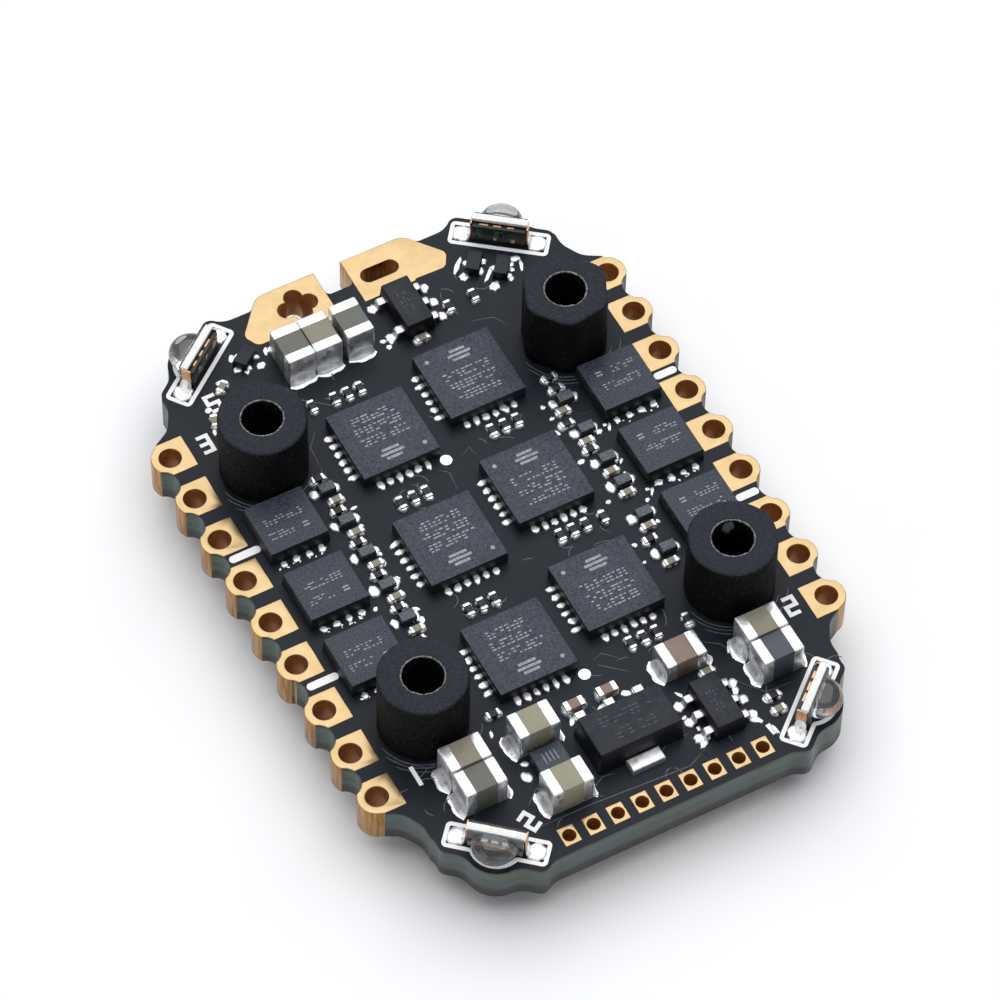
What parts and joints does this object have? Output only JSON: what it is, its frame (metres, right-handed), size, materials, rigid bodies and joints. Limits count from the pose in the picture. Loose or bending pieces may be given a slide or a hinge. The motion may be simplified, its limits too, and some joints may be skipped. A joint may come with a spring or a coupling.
{
  "type": "motor drive circuit board",
  "caption": "Scalloped-edge circuit board of a small multirotor stack, with gold edge pads, gate drivers, corner LEDs and rubber mounting grommets.",
  "frame": {"origin": "centre of the four-grommet pattern, in the plane that the grommets stand on", "axes": "+Z is the board's normal, towards the driver side; +Y points to the battery lugs; +X to the right-hand motor pads"},
  "size_m": [0.0252, 0.0345, 0.0075],
  "materials": {
    "ceramic_brown": "fired ceramic, brown",
    "ceramic_olive": "fired ceramic, olive to slate",
    "copper": "bare copper edge contacts",
    "diode": "grey moulding compound",
    "fr4": "glass-epoxy laminate, dark olive at the cut edge",
    "gold": "gold plating over copper",
    "led_clear": "clear epoxy dome",
    "led_green": "green carrier laminate",
    "led_white": "white reflector resin",
    "legend": "white legend ink",
    "mask": "satin black solder mask",
    "mould": "dark moulding compound",
    "resistor": "dark glazed chip",
    "rubber": "soft black rubber, dusty",
    "tin": "bright solder and tin plating"
  },
  "bodies": {
    "board": {"battery_pad_negative": "gold", "battery_pad_positive": "gold", "bootstrap_diode_leads": "tin", "bootstrap_diodes": "diode", "bulk_capacitor_bodies": "ceramic_olive", "bulk_capacitor_ends": "tin", "chip_capacitor_bodies": "ceramic_brown", "chip_capacitor_ends": "tin", "chip_resistor_bodies": "resistor", "chip_resistor_ends": "tin", "fiducials": "gold", "filter_inductor": "mould", "gate_driver_1": "mould", "gate_driver_2": "mould", "gate_driver_3": "mould", "gate_driver_4": "mould", "gate_driver_5": "mould", "gate_driver_6": "mould", "gate_driver_terminals": "tin", "header_pads": "gold", "led_carriers": "led_green", "led_contacts": "copper", "led_housings": "led_white", "led_lenses": "led_clear", "led_transistor_bodies": "mould", "led_transistor_leads": "tin", "microcontroller_terminals": "tin", "microcontrollers": "mould", "mosfet_bottom_leads": "tin", "mosfet_top_1": "mould", "mosfet_top_2": "mould", "mosfet_top_3": "mould", "mosfet_top_4": "mould", "mosfet_top_5": "mould", "mosfet_top_6": "mould", "mosfet_top_leads": "tin", "mosfets_bottom": "mould", "motor_pads_1": "gold", "motor_pads_2": "gold", "motor_pads_3": "gold", "motor_pads_4": "gold", "motor_pads_5": "gold", "motor_pads_6": "gold", "pcb_laminate": "fr4", "regulator_body": "mould", "regulator_leads": "tin", "sense_amplifier_body": "mould", "sense_amplifier_leads": "tin", "silkscreen_bottom": "legend", "silkscreen_top": "legend", "solder_joints": "tin", "solder_mask_bottom": "mask", "solder_mask_top": "mask", "supply_switch_body": "mould", "supply_switch_leads": "tin"},
    "grommet_front_left": {"grommet_front_left": "rubber"},
    "grommet_front_right": {"grommet_front_right": "rubber"},
    "grommet_rear_left": {"grommet_rear_left": "rubber"},
    "grommet_rear_right": {"grommet_rear_right": "rubber"}
  },
  "joints": [
    {"name": "front_left_grommet_turn", "type": "hinge", "parent": "board", "child": "grommet_front_left", "pos_m": [-0.008, -0.008, 0.0026], "axis": [0, 0, 1], "continuous": true},
    {"name": "front_right_grommet_turn", "type": "hinge", "parent": "board", "child": "grommet_front_right", "pos_m": [0.008, -0.008, 0.0026], "axis": [0, 0, 1], "continuous": true},
    {"name": "rear_left_grommet_turn", "type": "hinge", "parent": "board", "child": "grommet_rear_left", "pos_m": [-0.008, 0.008, 0.0026], "axis": [0, 0, 1], "continuous": true},
    {"name": "rear_right_grommet_turn", "type": "hinge", "parent": "board", "child": "grommet_rear_right", "pos_m": [0.008, 0.008, 0.0026], "axis": [0, 0, 1], "continuous": true}
  ]
}
